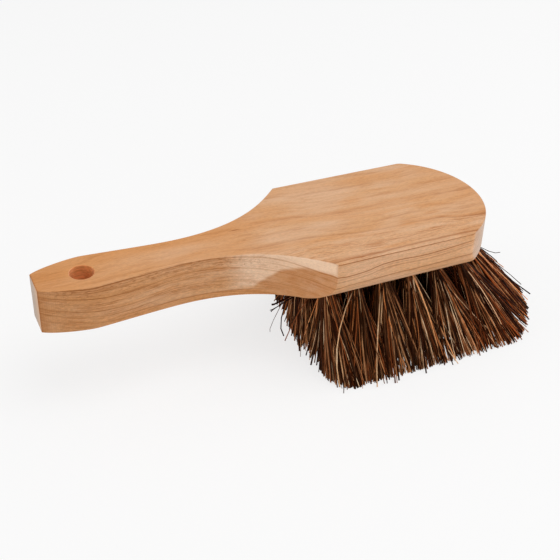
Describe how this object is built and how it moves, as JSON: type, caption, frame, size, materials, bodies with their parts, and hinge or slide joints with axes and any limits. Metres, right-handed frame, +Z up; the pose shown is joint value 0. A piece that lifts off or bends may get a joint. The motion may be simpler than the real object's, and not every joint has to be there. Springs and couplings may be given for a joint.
{
  "type": "scrub brush",
  "caption": "Short-handled scrub brush: one-piece hardwood block and handle with a hanging hole, filled with stiff palm-fibre tufts held by wire staples.",
  "frame": {"origin": "on the surface that the fibre tips stand on, under the middle of the brush's overall length and width", "axes": "+X along the brush from the handle's end to the nose, +Z up from the fibre tips to the flat top of the block, +Y to the left when looking along +X"},
  "size_m": [0.233, 0.0873, 0.061],
  "materials": {
    "hardwood": "bare planed and sanded pale tan hardwood, satin, with fine grain lines along the handle",
    "palm_fibre": "stiff dry palm fibre, dark brown to rust brown with tan strands, matt",
    "staple_wire": "plain drawn steel wire"
  },
  "bodies": {
    "root": {"block_and_handle": "hardwood", "tuft_a1": "palm_fibre", "tuft_a2": "palm_fibre", "tuft_a3": "palm_fibre", "tuft_a4": "palm_fibre", "tuft_a5": "palm_fibre", "tuft_a6": "palm_fibre", "tuft_b1": "palm_fibre", "tuft_b2": "palm_fibre", "tuft_b3": "palm_fibre", "tuft_b4": "palm_fibre", "tuft_b5": "palm_fibre", "tuft_c1": "palm_fibre", "tuft_c2": "palm_fibre", "tuft_c3": "palm_fibre", "tuft_c4": "palm_fibre", "tuft_c5": "palm_fibre", "tuft_c6": "palm_fibre", "tuft_c7": "palm_fibre", "tuft_d1": "palm_fibre", "tuft_d2": "palm_fibre", "tuft_d3": "palm_fibre", "tuft_d4": "palm_fibre", "tuft_d5": "palm_fibre", "tuft_e1": "palm_fibre", "tuft_e2": "palm_fibre", "tuft_e3": "palm_fibre", "tuft_e4": "palm_fibre", "tuft_e5": "palm_fibre", "tuft_e6": "palm_fibre", "staple_a1": "staple_wire", "staple_a2": "staple_wire", "staple_a3": "staple_wire", "staple_a4": "staple_wire", "staple_a5": "staple_wire", "staple_a6": "staple_wire", "staple_b1": "staple_wire", "staple_b2": "staple_wire", "staple_b3": "staple_wire", "staple_b4": "staple_wire", "staple_b5": "staple_wire", "staple_c1": "staple_wire", "staple_c2": "staple_wire", "staple_c3": "staple_wire", "staple_c4": "staple_wire", "staple_c5": "staple_wire", "staple_c6": "staple_wire", "staple_c7": "staple_wire", "staple_d1": "staple_wire", "staple_d2": "staple_wire", "staple_d3": "staple_wire", "staple_d4": "staple_wire", "staple_d5": "staple_wire", "staple_e1": "staple_wire", "staple_e2": "staple_wire", "staple_e3": "staple_wire", "staple_e4": "staple_wire", "staple_e5": "staple_wire", "staple_e6": "staple_wire"}
  },
  "joints": []
}
